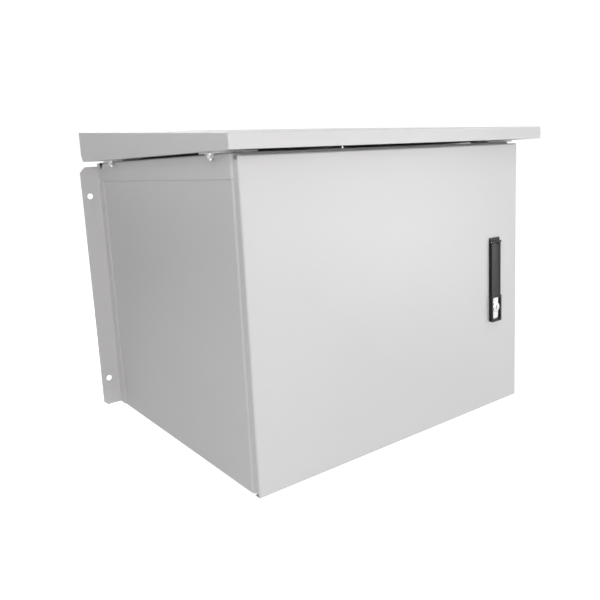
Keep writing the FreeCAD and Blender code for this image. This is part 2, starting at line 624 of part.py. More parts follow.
def door_panel():
    """Pan with bent edges, reliefs for the hinge tongues and the lock's cut-out."""
    outer = pan(-HALF, HALF, DOOR_FACE, DOOR_BACK, BOTTOM, DOOR_TOP, BEND + SHEET)
    inner = pan(-INSIDE, INSIDE, DOOR_INNER, DOOR_BACK + 5, BOTTOM + SHEET, DOOR_TOP - SHEET, BEND)
    relief = box(-HALF - 1, -HALF + 3, DOOR_INNER, DOOR_BACK + 1, DOOR_TOP - SHEET - 4.5, DOOR_TOP - SHEET)
    lower_relief = box(-HALF - 1, -HALF + 3, DOOR_INNER, DOOR_BACK + 1, BOTTOM + SHEET,
                       BOTTOM + SHEET + 4.5)
    lock_hole = box(LOCK_X - LOCK_BOX_HALF - 0.2, LOCK_X + LOCK_BOX_HALF + 0.2, DOOR_FACE - 1,
                    DOOR_INNER + 1,
                    LOCK_BOX_LOW - 0.3, LOCK_BOX_HIGH + 0.3)
    door = outer.cut([inner, relief, lower_relief, lock_hole])
    door = drilled(door, 1.5 + SLIP, lock_screw_seats(DOOR_INNER), vec(0, 1, 0))
    return drilled(door, BUSH_R, [vec(HINGE_X, HINGE_Y, DOOR_TOP), vec(HINGE_X, HINGE_Y, BOTTOM)],
                   vec(0, 0, 1))


def door_stiffener(x):
    """Hat section on the inside of the door."""
    crown = DOOR_INNER + 10.5
    path = [(x - 25, DOOR_INNER), (x - 10, DOOR_INNER), (x - 10, crown), (x + 10, crown),
            (x + 10, DOOR_INNER),
            (x + 25, DOOR_INNER)]
    return bent_sheet(path, SHEET, "XY", LIP_BOTTOM + 12, SEAM_Z - 12, bend=1.0)


def door_gasket():
    """Foam ring that closes on the lip round the opening."""
    half = 5.0
    x, low, high = LIP_X + SHEET / 2, LIP_BOTTOM - SHEET / 2, SEAM_Z + SHEET / 2
    outer = plate(-x - half, x + half, low - half, high + half, 8, "XZ", DOOR_INNER, LIP_Y - 0.2)
    inner = plate(-x + half, x - half, low + half, high - half, 3, "XZ", DOOR_INNER - 1, LIP_Y + 1)
    ring = outer.cut(inner)
    rear = [e for e in ring.Edges if all(abs(v.Point.y - (LIP_Y - 0.2)) < TOUCH for v in e.Vertexes)]
    return ring.makeFillet(1.5, rear)


# --- Lock -----------------------------------------------------------------------------------------

def lock_screw_seats(y):
    return [vec(LOCK_X, y, z) for z in (LOCK_BOX_LOW - 3.2, LOCK_BOX_HIGH + 3.2)]


def lock_foot():
    """The base's thicker lower end, hollowed for the swinging lever's end and for the shield plate."""
    front, rear = DOOR_FACE - LOCK_FRAME, DOOR_FACE - LOCK_BASE
    block = plate(LOCK_X - LOCK_WIDTH / 2, LOCK_X + LOCK_WIDTH / 2, LOCK_Z - LOCK_HEIGHT / 2,
                  LOCK_Z + LOCK_HEIGHT / 2, 2, "XZ", front, rear)
    foot = block.common(box(LOCK_X - LOCK_WIDTH, LOCK_X + LOCK_WIDTH, front, rear, BOTTOM, 0))
    swept = rod(LEVER_REACH + LEVER_CLEAR, vec(LOCK_X, front - 1, SPINDLE_Z), vec(LOCK_X, rear + 1, SPINDLE_Z))
    pocket = plate(LOCK_X - COVER_HALF - SLIP, LOCK_X + COVER_HALF + SLIP, COVER_FOOT - SLIP, COVER_TOP + SLIP,
                   3, "XZ", front - 1, rear + 1)
    return foot.cut([swept, pocket])


def lock_housing():
    """Black base in front of the door and the box behind it, bored for the spindle and the button."""
    x0, x1 = LOCK_X - LOCK_WIDTH / 2, LOCK_X + LOCK_WIDTH / 2
    z0, z1 = LOCK_Z - LOCK_HEIGHT / 2, LOCK_Z + LOCK_HEIGHT / 2
    base = plate(x0, x1, z0, z1, 2, "XZ", DOOR_FACE - LOCK_BASE, DOOR_FACE)
    rear = box(LOCK_X - LOCK_BOX_HALF, LOCK_X + LOCK_BOX_HALF, DOOR_FACE, LOCK_BOX_REAR, LOCK_BOX_LOW,
               LOCK_BOX_HIGH)
    cuts = [
        rod(SPINDLE_R + SLIP, vec(LOCK_X, DOOR_FACE - 5, SPINDLE_Z),
            vec(LOCK_X, LOCK_BOX_REAR + 1, SPINDLE_Z)),
        rod(BUTTON_R + SLIP, vec(LOCK_X, DOOR_FACE - 5, BUTTON_Z), vec(LOCK_X, BUTTON_BORE_END, BUTTON_Z)),
    ]
    cuts += [rod(1.25, seat, seat + vec(0, -1.5, 0)) for seat in lock_screw_seats(DOOR_FACE)]
    return base.fuse([rear, lock_foot()]).removeSplitter().cut(cuts)


def lock_clamp():
    """Ring behind the door that the housing's screws pull against."""
    ring = plate(LOCK_X - 15.5, LOCK_X + 15.5, LOCK_BOX_LOW - 6.5, LOCK_BOX_HIGH + 6.5, 2, "XZ", DOOR_INNER,
                 DOOR_INNER + PLATE)
    window = box(LOCK_X - LOCK_BOX_HALF - 0.2, LOCK_X + LOCK_BOX_HALF + 0.2, DOOR_INNER - 1, DOOR_INNER + 5,
                 LOCK_BOX_LOW - 0.2, LOCK_BOX_HIGH + 0.2)
    return drilled(ring.cut(window), 1.5 + SLIP, lock_screw_seats(DOOR_INNER), vec(0, 1, 0))


def lock_screws():
    seats = lock_screw_seats(DOOR_INNER + PLATE)
    return Part.makeCompound([cap_screw(1.2, 4.8, 2.7, 1.8, seat, vec(0, -1, 0)) for seat in seats])


def lock_cover():
    """Bright shield plate round the button, in the lower end of the base, wide above and narrower below."""
    shoulder, foot_half = COVER_TOP - 12, COVER_HALF - 3
    left, right = LOCK_X - COVER_HALF, LOCK_X + COVER_HALF
    outline = [(left, COVER_TOP), (left, shoulder), (LOCK_X - foot_half, COVER_FOOT),
               (LOCK_X + foot_half, COVER_FOOT), (right, shoulder), (right, COVER_TOP)]
    cover = prism(outline, [3, 8, 5, 5, 8, 3], "XZ", COVER_FRONT, DOOR_FACE - LOCK_BASE)
    front = [e for e in cover.Edges if all(abs(v.Point.y - COVER_FRONT) < TOUCH for v in e.Vertexes)]
    cover = cover.makeFillet(1.0, front)
    bore = rod(BUTTON_R + SLIP, vec(LOCK_X, COVER_FRONT - 1, BUTTON_Z), vec(LOCK_X, DOOR_FACE, BUTTON_Z))
    return cover.cut(bore)


def lock_spindle():
    """Shaft with a square end for the cam and, in front, an arm that carries the lever's knuckle."""
    axis = vec(LOCK_X, 0, SPINDLE_Z)
    face = DOOR_FACE - LOCK_BASE - 0.1
    pin_y = (LEVER_FRONT + LEVER_BACK) / 2
    shaft = rod(SPINDLE_R, axis + vec(0, face, 0), axis + vec(0, CAM_FRONT, 0))
    square = box(LOCK_X - SPINDLE_SQUARE / 2, LOCK_X + SPINDLE_SQUARE / 2, CAM_FRONT, CAM_FRONT + CAM_SHEET,
                 SPINDLE_Z - SPINDLE_SQUARE / 2, SPINDLE_Z + SPINDLE_SQUARE / 2)
    x0, x1 = LOCK_X - KNUCKLE_HALF, LOCK_X + KNUCKLE_HALF
    arm = box(x0, x1, ARM_FRONT, face, SPINDLE_Z - 7, LEVER_PIN_Z - 1)
    knuckle = rod(KNUCKLE_R, vec(x0, pin_y, LEVER_PIN_Z), vec(x1, pin_y, LEVER_PIN_Z))
    eye = rod(LEVER_PIN_R + SLIP, vec(x0 - 1, pin_y, LEVER_PIN_Z), vec(x1 + 1, pin_y, LEVER_PIN_Z))
    tapped = rod(2.5 + SLIP, axis + vec(0, CAM_FRONT - 9, 0), axis + vec(0, CAM_FRONT + 5, 0))
    return shaft.fuse([square, arm, knuckle]).removeSplitter().cut([eye, tapped])


def lock_cam():
    """Plate behind the door whose tongue points at the rim."""
    half = 8.0
    disc = rod(11, vec(LOCK_X, CAM_FRONT, SPINDLE_Z), vec(LOCK_X, CAM_FRONT + CAM_SHEET, SPINDLE_Z))
    tongue = plate(LOCK_X, CAM_END, SPINDLE_Z - half, SPINDLE_Z + half, 3, "XZ", CAM_FRONT,
                   CAM_FRONT + CAM_SHEET)
    reach = SPINDLE_SQUARE / 2 + SLIP
    hole = box(LOCK_X - reach, LOCK_X + reach, CAM_FRONT - 1, CAM_FRONT + CAM_SHEET + 1, SPINDLE_Z - reach,
               SPINDLE_Z + reach)
    return disc.fuse(tongue).removeSplitter().cut(hole)


def cam_bolt():
    seat = vec(LOCK_X, CAM_FRONT + CAM_SHEET, SPINDLE_Z)
    return hex_bolt(2.5, 10, 8, 3.5, seat, vec(0, -1, 0), washer=1.0)


def lock_lever():
    """Flat lever with a crowned front, forked at the top round the knuckle, its lower end an arc."""
    pin_y = (LEVER_FRONT + LEVER_BACK) / 2
    round_r = (LEVER_BACK - LEVER_FRONT) / 2
    ridge = 1.2
    x0, x1 = LOCK_X - LEVER_HALF, LOCK_X + LEVER_HALF
    section = [(x0, LEVER_BACK), (x0, LEVER_FRONT + ridge), (LOCK_X - 3, LEVER_FRONT),
               (LOCK_X + 3, LEVER_FRONT),
               (x1, LEVER_FRONT + ridge), (x1, LEVER_BACK)]
    bar = prism(section, [0, 1, 2, 2, 1, 0], "XY", SPINDLE_Z - LEVER_REACH - 5, LEVER_PIN_Z)
    reach = rod(LEVER_REACH, vec(LOCK_X, LEVER_FRONT - 1, SPINDLE_Z),
                vec(LOCK_X, LEVER_BACK + 1, SPINDLE_Z))
    bar = bar.common(reach)
    cheeks = rod(round_r, vec(x0, pin_y, LEVER_PIN_Z), vec(x1, pin_y, LEVER_PIN_Z))
    gap = KNUCKLE_HALF + 0.2
    fork = box(LOCK_X - gap, LOCK_X + gap, LEVER_FRONT - 1, LEVER_BACK + 1, LEVER_PIN_Z - 4,
               LEVER_PIN_Z + 5)
    under = box(LOCK_X - gap, LOCK_X + gap, ARM_FRONT - 0.4, LEVER_BACK + 1, SPINDLE_Z - 8, LEVER_PIN_Z)
    eye = rod(LEVER_PIN_R + SLIP, vec(x0 - 1, pin_y, LEVER_PIN_Z), vec(x1 + 1, pin_y, LEVER_PIN_Z))
    return bar.fuse(cheeks).removeSplitter().cut([fork, under, eye])


def lever_pin():
    pin_y = (LEVER_FRONT + LEVER_BACK) / 2
    return rod(LEVER_PIN_R, vec(LOCK_X - LEVER_HALF, pin_y, LEVER_PIN_Z),
               vec(LOCK_X + LEVER_HALF, pin_y, LEVER_PIN_Z))


def push_button():
    """Round bright button with a raised rim and a bore for the key core."""
    axis = vec(LOCK_X, 0, BUTTON_Z)
    body = rod(BUTTON_R, axis + vec(0, BUTTON_FRONT, 0), axis + vec(0, BUTTON_REAR, 0))
    body = body.makeFillet(1.2, [e for e in body.Edges if abs(e.CenterOfMass.y - BUTTON_FRONT) < TOUCH])
    bore = rod(KEY_R + SLIP, axis + vec(0, KEY_FRONT - 1, 0), axis + vec(0, BUTTON_REAR + 1, 0))
    return body.cut(bore)


def key_core():
    """Lock cylinder core with its keyway."""
    axis = vec(LOCK_X, 0, BUTTON_Z)
    core = rod(KEY_R, axis + vec(0, KEY_FRONT, 0), axis + vec(0, BUTTON_REAR, 0))
    core = core.makeFillet(0.4, [e for e in core.Edges if abs(e.CenterOfMass.y - KEY_FRONT) < TOUCH])
    keyway = box(LOCK_X - 0.7, LOCK_X + 0.7, KEY_FRONT - 1, KEY_FRONT + 8, BUTTON_Z - 3.4, BUTTON_Z + 3.4)
    return core.cut(keyway)


def button_spring():
    """Coil spring behind the button."""
    wire = 0.5
    length = BUTTON_BORE_END - BUTTON_REAR - 2 * wire - 0.2
    coil = Part.makeHelix(length / 3.5, length, 7.5)
    circle = Part.Wire(Part.Circle(vec(7.5, 0, 0), vec(0, 1, 0), wire).toShape())
    spring = Part.Wire(coil).makePipeShell([circle], True, True)
    return placed(spring, vec(LOCK_X, BUTTON_REAR + wire + 0.1, BUTTON_Z), vec(0, 1, 0))


# --- Rails and shelf ------------------------------------------------------------------------------

def depth_rail(z):
    """Left channel along the side panel, slotted along its web."""
    path = [(-INSIDE, z - DEPTH_RAIL_HALF), (-DEPTH_RAIL_FACE, z - DEPTH_RAIL_HALF),
            (-DEPTH_RAIL_FACE, z + DEPTH_RAIL_HALF), (-INSIDE, z + DEPTH_RAIL_HALF)]
    rail = bent_sheet(path, PLATE, "XZ", DEPTH_RAIL_FRONT, DEPTH_RAIL_REAR)
    first = RACK_FRONT + RACK_LEG / 2
    count = int((RACK_REAR - first) // SLOT_PITCH) + 1
    slots = [
        slot(first + SLOT_PITCH * i, z, SLOT_LENGTH, SLOT_WIDTH, "YZ", -DEPTH_RAIL_FACE - 5,
             -DEPTH_RAIL_FACE + 5)
        for i in range(count)
    ]
    return rail.cut(slots)


def rack_rail(face, way):
    """Left upright: a drilled flange across the opening and a leg bolted to the depth rails."""
    path = [(-RACK_EDGE_X, face), (-DEPTH_RAIL_FACE, face), (-DEPTH_RAIL_FACE, face + way * RACK_LEG)]
    if way > 0:
        path.reverse()
    rail = bent_sheet(path, PLATE, "XY", RACK_BOTTOM, RACK_TOP)
    holes = [vec(-RACK_HOLE_X, face, RACK_BOTTOM + UNIT * u + z) for u in range(UNITS) for z in UNIT_HOLES]
    rail = drilled(rail, RACK_HOLE_R, holes, vec(0, 1, 0))
    bolts = [vec(-DEPTH_RAIL_FACE, face + way * RACK_LEG / 2, z) for z in DEPTH_RAIL_ZS.values()]
    return drilled(rail, 3 + SLIP, bolts, vec(1, 0, 0))


def rail_bolts():
    """Bolts from the uprights' legs into the depth rails, each with its nut."""
    pieces = []
    for side in (-1, 1):
        out = vec(side, 0, 0)
        for y in (RACK_FRONT + RACK_LEG / 2, RACK_REAR - RACK_LEG / 2):
            for z in DEPTH_RAIL_ZS.values():
                pieces.append(hex_bolt(3, 11, 10, 4, vec(side * (DEPTH_RAIL_FACE - PLATE), y, z), out,
                                       washer=1.2))
                pieces.append(nut(3 + SLIP, 10, 5, vec(side * (DEPTH_RAIL_FACE + PLATE), y, z), out))
    return Part.makeCompound(pieces)


def battery_shelf():
    """Tray on the four uprights, its ends cut down to a low lip, with ventilation slots in its floor."""
    y0, y1 = RACK_FRONT - PLATE, RACK_REAR + PLATE
    z0 = RACK_BOTTOM + 0.2
    z1 = z0 + SHELF_HEIGHT
    outer = box(-SHELF_HALF, SHELF_HALF, y0, y1, z0, z1)
    outer = rounded(outer, BEND + PLATE, {"x": -SHELF_HALF, "z": z0}, {"x": SHELF_HALF, "z": z0})
    inner = box(-SHELF_HALF + PLATE, SHELF_HALF - PLATE, y0 + PLATE, y1 - PLATE, z0 + PLATE, z1 + 1)
    inner = rounded(inner, BEND, {"x": -SHELF_HALF + PLATE, "z": z0 + PLATE},
                    {"x": SHELF_HALF - PLATE, "z": z0 + PLATE})
    ears = [
        box(min(x, side * (SHELF_HALF - 1)), max(x, side * (SHELF_HALF - 1)), y, y + PLATE, z0 + 4, z1)
        for side in (-1, 1) for x in (side * SHELF_EAR_X,) for y in (y0, y1 - PLATE)
    ]
    mouths = [box(-SHELF_HALF + 19, SHELF_HALF - 19, y - 5, y + 5, z0 + SHELF_LIP, z1 + 1)
              for y in (y0, y1)]
    slots = [
        slot(x, y, 90, 10, "XY", z0 - 1, z0 + PLATE + 1)
        for x in (-130, 0, 130) for y in range(-440, -100, 30)
    ]
    shelf = outer.cut(inner).fuse(ears).cut(mouths + slots).removeSplitter()
    return drilled(shelf, RACK_HOLE_R, shelf_screw_seats(RACK_FRONT) + shelf_screw_seats(RACK_REAR),
                   vec(0, 1, 0))


def shelf_screw_seats(y):
    return [vec(side * RACK_HOLE_X, y, RACK_BOTTOM + z) for side in (-1, 1)
            for z in (UNIT_HOLES[0], UNIT_HOLES[2])]


def shelf_screws():
    """Screws through the shelf's ears into nuts behind the uprights' flanges."""
    pieces = []
    for face, way in ((RACK_FRONT, 1), (RACK_REAR, -1)):
        along = vec(0, way, 0)
        pieces += [cap_screw(3, 14, 5.2, 3.2, seat, along)
                   for seat in shelf_screw_seats(face - way * PLATE)]
        pieces += [nut(3 + SLIP, 10, 5, seat, along) for seat in shelf_screw_seats(face + way * PLATE)]
    return Part.makeCompound(pieces)


# --- Cable entry and earth ------------------------------------------------------------------------

def entry_screw_seats(z):
    x = ENTRY_HALF + ENTRY_MARGIN / 2
    middle = (ENTRY_FRONT + ENTRY_REAR) / 2
    corners = [vec(side * x, y, z) for side in (-1, 1) for y in (ENTRY_FRONT - 10, ENTRY_REAR + 10)]
    return corners + [vec(side * x, middle, z) for side in (-1, 1)]


def entry_plate(low, thickness):
    x = ENTRY_HALF + ENTRY_MARGIN
    return plate(-x, x, ENTRY_FRONT - ENTRY_MARGIN, ENTRY_REAR + ENTRY_MARGIN, 5, "XY", low,
                 low + thickness)


def gland_plate():
    sheet = drilled(entry_plate(GLAND_FLOOR, PLATE), 2.5 + SLIP, entry_screw_seats(GLAND_FLOOR),
                    vec(0, 0, 1))
    return drilled(sheet, GLAND_THREAD_R + 0.2, [vec(x, GLAND_Y, GLAND_FLOOR) for x in GLAND_XS.values()],
                   vec(0, 0, 1))


def gland_plate_gasket():
    low = GLAND_FLOOR - 2.0
    window = plate(-ENTRY_HALF, ENTRY_HALF, ENTRY_FRONT, ENTRY_REAR, 6, "XY", low - 1, low + 5)
    return drilled(entry_plate(low, 2.0).cut(window), 2.5 + SLIP, entry_screw_seats(low), vec(0, 0, 1))


def gland_plate_screws():
    seats = entry_screw_seats(GLAND_FLOOR + PLATE)
    return Part.makeCompound([cap_screw(2.5, 7, 4.5, 2.8, seat, vec(0, 0, -1)) for seat in seats])


def gland_body(x):
    """Threaded sleeve through the gland plate with its hexagon below."""
    hexagon_height = 8.0
    top = vec(x, GLAND_Y, GLAND_FLOOR + PLATE + 9)
    hex_part = placed(hexagon(GLAND_HEX, hexagon_height), vec(x, GLAND_Y, GLAND_FLOOR), vec(0, 0, -1))
    sleeve = rod(GLAND_THREAD_R, vec(x, GLAND_Y, GLAND_FLOOR - 1), top)
    lower = rod(GLAND_THREAD_R - 0.6, vec(x, GLAND_Y, GLAND_FLOOR - 20),
                vec(x, GLAND_Y, GLAND_FLOOR - hexagon_height + 1))
    passage = rod(GLAND_SEAL_R, vec(x, GLAND_Y, GLAND_FLOOR - 30), top + vec(0, 0, 1))
    return hex_part.fuse([sleeve, lower]).removeSplitter().cut(passage)


def gland_cap(x):
    """Domed cap nut on the lower thread."""
    high, low = GLAND_FLOOR - 8.5, GLAND_FLOOR - 25.0
    cap = rod(GLAND_CAP_R, vec(x, GLAND_Y, low), vec(x, GLAND_Y, high))
    cap = cap.makeFillet(5, [e for e in cap.Edges if abs(e.CenterOfMass.z - low) < TOUCH])
    flutes = [
        rod(1.5, vec(x + GLAND_CAP_R * math.cos(a), GLAND_Y + GLAND_CAP_R * math.sin(a), low + 6),
            vec(x + GLAND_CAP_R * math.cos(a), GLAND_Y + GLAND_CAP_R * math.sin(a), high + 1))
        for a in (math.radians(30 * i) for i in range(12))
    ]
    thread = rod(GLAND_THREAD_R - 0.5, vec(x, GLAND_Y, GLAND_FLOOR - 20.2), vec(x, GLAND_Y, high + 1))
    mouth = rod(GLAND_BORE_R + 1, vec(x, GLAND_Y, low - 1), vec(x, GLAND_Y, high))
    return cap.cut(flutes + [thread, mouth])


def gland_seals():
    """Rubber inserts that close round the cables."""
    seals = []
    for x in GLAND_XS.values():
        foot = vec(x, GLAND_Y, GLAND_FLOOR - 20.1)
        head = vec(x, GLAND_Y, GLAND_FLOOR - 4.1)
        seals.append(rod(GLAND_SEAL_R - SLIP, foot, head).cut(rod(GLAND_BORE_R, foot, head)))
    return Part.makeCompound(seals)


def gland_locknuts():
    seats = [vec(x, GLAND_Y, GLAND_FLOOR + PLATE) for x in GLAND_XS.values()]
    return Part.makeCompound([nut(GLAND_THREAD_R + SLIP, GLAND_HEX, 5, seat, vec(0, 0, 1))
                              for seat in seats])


def earth_bar():
    bar = plate(-EARTH_HALF, EARTH_HALF, EARTH_Z - 10, EARTH_Z + 10, 2, "XZ", EARTH_FRONT, EARTH_BACK)
    return drilled(bar, 3 + SLIP, earth_seats(EARTH_FRONT), vec(0, 1, 0))


def earth_seats(y):
    return [vec(x, y, EARTH_Z) for x in range(-70, 71, 20)]


def earth_fixings():
    """Two stand-offs on the rear panel with their screws, and the terminal screws between them."""
    seats = earth_seats(EARTH_FRONT)
    ends = (seats[0], seats[-1])
    depth = -SHEET - EARTH_BACK
    pieces = [nut(3 + SLIP, 10, depth, vec(seat.x, EARTH_BACK, seat.z), vec(0, 1, 0)) for seat in ends]
    pieces += [hex_bolt(3, 9, 10, 4, seat, vec(0, 1, 0), washer=1.2) for seat in seats]
    return Part.makeCompound(pieces)


# --- Assembly -------------------------------------------------------------------------------------

def pieces():
    """Every sub-part by name, in its place."""
    left_bracket = wall_bracket()
    parts = {
        "rear_panel": rear_panel(),
        "side_panel_left": side_panel(hinged=True),
        "side_panel_right": mirrored(side_panel(hinged=False)),
        "top_panel": top_panel(),
        "bottom_panel": bottom_panel(),
        "wall_bracket_left": left_bracket,
        "wall_bracket_right": mirrored(left_bracket),
        "roof_hood": roof_hood(),
        "roof_bolts": roof_bolts(),
        "roof_nuts": roof_nuts(),
        "bracket_screws": bracket_screws(),
        "vent_filter": vent_filter(),
        "vent_frame": vent_frame(),
        "hinge_bracket_top": hinge_bracket(TOP_FRONT),
        "hinge_bracket_bottom": turned_over(hinge_bracket(SIDE_FRONT)),
        "hinge_pins": hinge_pins(),
        "hinge_screws": hinge_screws(),
        "hinge_bushes": hinge_bushes(),
        "door_panel": door_panel(),
        "door_stiffener_left": door_stiffener(-140),
        "door_stiffener_right": door_stiffener(110),
        "door_gasket": door_gasket(),
        "lock_housing": lock_housing(),
        "lock_clamp": lock_clamp(),
        "lock_screws": lock_screws(),
        "lock_cover": lock_cover(),
        "lock_spindle": lock_spindle(),
        "lock_cam": lock_cam(),
        "cam_bolt": cam_bolt(),
        "lock_lever": lock_lever(),
        "lever_pin": lever_pin(),
        "push_button": push_button(),
        "key_core": key_core(),
        "button_spring": button_spring(),
        "rail_bolts": rail_bolts(),
        "battery_shelf": battery_shelf(),
        "shelf_screws": shelf_screws(),
        "gland_plate": gland_plate(),
        "gland_plate_gasket": gland_plate_gasket(),
        "gland_plate_screws": gland_plate_screws(),
        "gland_seals": gland_seals(),
        "gland_locknuts": gland_locknuts(),
        "earth_bar": earth_bar(),
        "earth_fixings": earth_fixings(),
    }
    for end, (front, rear) in BRACKETS.items():
        bracket = roof_bracket(front, rear)
        parts[f"roof_bracket_{end}_left"] = bracket
        parts[f"roof_bracket_{end}_right"] = mirrored(bracket)
    for end, face, way in (("front", RACK_FRONT, 1), ("rear", RACK_REAR, -1)):
        rail = rack_rail(face, way)
        parts[f"rack_rail_{end}_left"] = rail
        parts[f"rack_rail_{end}_right"] = mirrored(rail)
    for level, z in DEPTH_RAIL_ZS.items():
        rail = depth_rail(z)
        parts[f"depth_rail_{level}_left"] = rail
        parts[f"depth_rail_{level}_right"] = mirrored(rail)
    for side, x in GLAND_XS.items():
        parts[f"gland_body_{side}"] = gland_body(x)
        parts[f"gland_cap_{side}"] = gland_cap(x)
    return parts


def main():
    os.makedirs("parts", exist_ok=True)
    for name, shape in pieces().items():
        shape.exportStep(f"parts/{name}.step")


main()
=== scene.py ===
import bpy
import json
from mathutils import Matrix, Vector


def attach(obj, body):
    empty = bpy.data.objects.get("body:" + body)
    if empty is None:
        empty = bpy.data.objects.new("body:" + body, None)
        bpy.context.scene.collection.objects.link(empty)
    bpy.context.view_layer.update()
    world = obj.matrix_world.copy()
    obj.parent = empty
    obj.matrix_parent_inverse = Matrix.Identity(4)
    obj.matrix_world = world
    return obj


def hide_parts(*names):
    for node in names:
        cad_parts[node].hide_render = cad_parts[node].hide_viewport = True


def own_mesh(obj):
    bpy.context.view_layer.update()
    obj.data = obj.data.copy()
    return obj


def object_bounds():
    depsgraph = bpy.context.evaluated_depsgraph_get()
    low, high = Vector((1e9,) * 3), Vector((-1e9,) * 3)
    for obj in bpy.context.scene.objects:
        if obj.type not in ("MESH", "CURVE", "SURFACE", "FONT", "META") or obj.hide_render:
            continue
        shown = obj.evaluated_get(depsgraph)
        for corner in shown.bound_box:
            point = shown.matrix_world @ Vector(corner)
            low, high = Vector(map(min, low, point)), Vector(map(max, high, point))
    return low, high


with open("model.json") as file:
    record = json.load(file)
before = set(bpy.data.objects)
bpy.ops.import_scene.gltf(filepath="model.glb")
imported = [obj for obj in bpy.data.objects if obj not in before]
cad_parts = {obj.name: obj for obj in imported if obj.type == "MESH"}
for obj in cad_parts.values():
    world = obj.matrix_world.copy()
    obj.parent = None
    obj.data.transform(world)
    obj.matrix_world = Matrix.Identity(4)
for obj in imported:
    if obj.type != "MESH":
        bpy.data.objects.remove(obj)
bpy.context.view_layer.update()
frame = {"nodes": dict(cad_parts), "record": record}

import json
import math

import bpy
from mathutils import Matrix, Vector

# Battery box: materials, a copy of the button spring, light and camera around the imported CAD model.
# Metres, in the CAD's own frame.

MM = 0.001
WHITE = (1.0, 1.0, 1.0, 1.0)
NOISE_LOW, NOISE_HIGH = 0.3, 0.7    # nearly all of a noise pattern lies between these


# --- Materials ------------------------------------------------------------------------------------

class Graph:
    """One material's node tree, with the few node patterns that every material here is built from."""

    def __init__(self, name, color, roughness, metallic=0.0):
        self.material = bpy.data.materials.new(name)
        self.material.use_nodes = True
        self.material.diffuse_color = (*color, 1.0)
        self.tree = self.material.node_tree
        self.shader = self.tree.nodes["Principled BSDF"]
        self.place = self.add("ShaderNodeTexCoord").outputs["Object"]
        self.set("Base Color", (*color, 1.0))
        self.set("Roughness", roughness)
        self.set("Metallic", metallic)
        self.height = None

    def add(self, kind, **settings):
        node = self.tree.nodes.new(kind)
        for key, value in settings.items():
            setattr(node, key, value)
        return node

    def link(self, source, target):
        self.tree.links.new(source, target)

    def set(self, socket, value):
        if isinstance(value, bpy.types.NodeSocket):
            self.link(value, self.shader.inputs[socket])
        else:
            self.shader.inputs[socket].default_value = value

    def stretched(self, scale):
        """The piece's own coordinates, scaled along each axis."""
        mapping = self.add("ShaderNodeMapping")
        mapping.inputs["Scale"].default_value = scale
        self.link(self.place, mapping.inputs["Vector"])
        return mapping.outputs["Vector"]

    def noise(self, size, detail=2.0, rough=0.5, place=None, distortion=0.0):
        """Noise from 0 to 1 whose features are about size metres across."""
        node = self.add("ShaderNodeTexNoise")
        node.inputs["Scale"].default_value = 1.0 / size
        node.inputs["Detail"].default_value = detail
        node.inputs["Roughness"].default_value = rough
        node.inputs["Distortion"].default_value = distortion
        self.link(place or self.place, node.inputs["Vector"])
        return node.outputs["Fac"]

    def cells(self, size):
        """Distance from the nearest of scattered points about size metres apart."""
        node = self.add("ShaderNodeTexVoronoi", feature="F1")
        node.inputs["Scale"].default_value = 1.0 / size
        self.link(self.place, node.inputs["Vector"])
        return node.outputs["Distance"]

    def remap(self, value, low, high, start=NOISE_LOW, end=NOISE_HIGH):
        """The range from start to end, stretched to the range from low to high."""
        node = self.add("ShaderNodeMapRange")
        for socket, number in zip(("From Min", "From Max", "To Min", "To Max"), (start, end, low, high)):
            node.inputs[socket].default_value = number
        self.link(value, node.inputs["Value"])
        return node.outputs["Result"]

    def mixed(self, factor, first, second):
        """A colour between two colours."""
        node = self.add("ShaderNodeMix", data_type="RGBA")
        self.link(factor, node.inputs["Factor"])
        for socket, value in ((node.inputs[6], first), (node.inputs[7], second)):
            if isinstance(value, bpy.types.NodeSocket):
                self.link(value, socket)
            else:
                socket.default_value = (*value, 1.0)
        return node.outputs[2]

    def bump(self, height, depth, strength=1.0):
        """Adds one more layer of bump, depth metres from its lowest to its highest."""
        node = self.add("ShaderNodeBump")
        node.inputs["Strength"].default_value = strength
        node.inputs["Distance"].default_value = depth
        self.link(height, node.inputs["Height"])
        if self.height:
            self.link(self.height, node.inputs["Normal"])
        self.height = node.outputs["Normal"]
        self.set("Normal", self.height)


def shade(color, factor):
    return tuple(min(1.0, channel * factor) for channel in color)


def powder_coat(name, color, roughness, grain, specular=0.5):
    """Baked powder paint: orange peel, a little cloudiness, and roughness that varies with the peel."""
    g = Graph(name, color, roughness)
    g.set("Specular IOR Level", specular)
    clouds = g.noise(0.22, 3.0)
    darker, lighter = shade(color, 0.985), shade(color, 1.012)
    g.set("Base Color", g.mixed(g.remap(clouds, 0.0, 1.0), darker, lighter))
    g.set("Roughness", g.remap(g.noise(0.012, 3.0), roughness - 0.03, roughness + 0.03))
    g.bump(g.noise(grain, 1.5, 0.4), 0.05 * MM, 0.5)
    g.bump(g.noise(grain * 7, 2.0, 0.4), 0.12 * MM, 0.35)
    return g.material


def zinc_plate(name, color):
    """Bright zinc plate: faintly clouded steel with fine rolling marks."""
    g = Graph(name, color, 0.34, metallic=1.0)
    clouds = g.noise(0.018, 4.0, 0.6)
    bright = (0.80, 0.80, 0.77)
    g.set("Base Color", g.mixed(g.remap(clouds, 0.0, 1.0), shade(color, 0.90), bright))
    g.set("Roughness", g.remap(g.noise(0.004, 4.0, 0.6), 0.26, 0.42))
    g.bump(g.noise(0.0006, 2.0, 0.5, g.stretched((1.0, 1.0, 0.08))), 0.01 * MM, 0.4)
    return g.material


def moulded(name, color, roughness, grain, depth):
    """Moulded plastic with the fine texture of a spark-eroded tool."""
    g = Graph(name, color, roughness)
    g.set("Base Color", g.mixed(g.noise(0.006, 3.0), shade(color, 0.9), shade(color, 1.12)))
    g.set("Roughness", g.remap(g.noise(0.003, 3.0), roughness - 0.05, roughness + 0.06))
    g.bump(g.noise(grain, 3.0, 0.6), depth, 0.5)
    return g.material


